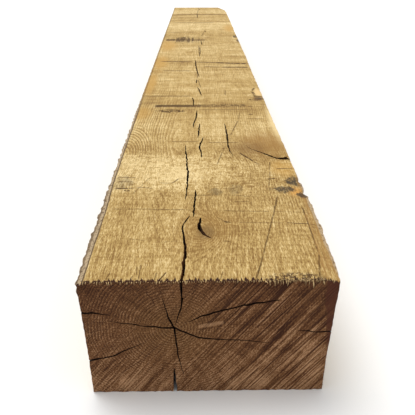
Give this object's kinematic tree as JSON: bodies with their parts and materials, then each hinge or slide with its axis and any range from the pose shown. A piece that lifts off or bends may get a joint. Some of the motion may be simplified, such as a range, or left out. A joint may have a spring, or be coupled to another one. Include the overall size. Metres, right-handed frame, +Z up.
{
  "type": "railway sleeper",
  "caption": "Solid sawn oak railway sleeper: a long rectangular baulk with end-grain splits, a heart check along the top and slight wane, laid flat as a rail bearer or landscape edging.",
  "frame": {"origin": "under the middle of the underside, on the surface it lies on", "axes": "+Z up, the length along Y with the split front end at -Y, +X to the right of someone facing that end"},
  "size_m": [0.26, 2.6, 0.15],
  "materials": {
    "oak": "rough sawn, dry"
  },
  "bodies": {
    "root": {"sleeper": "oak"}
  },
  "joints": []
}
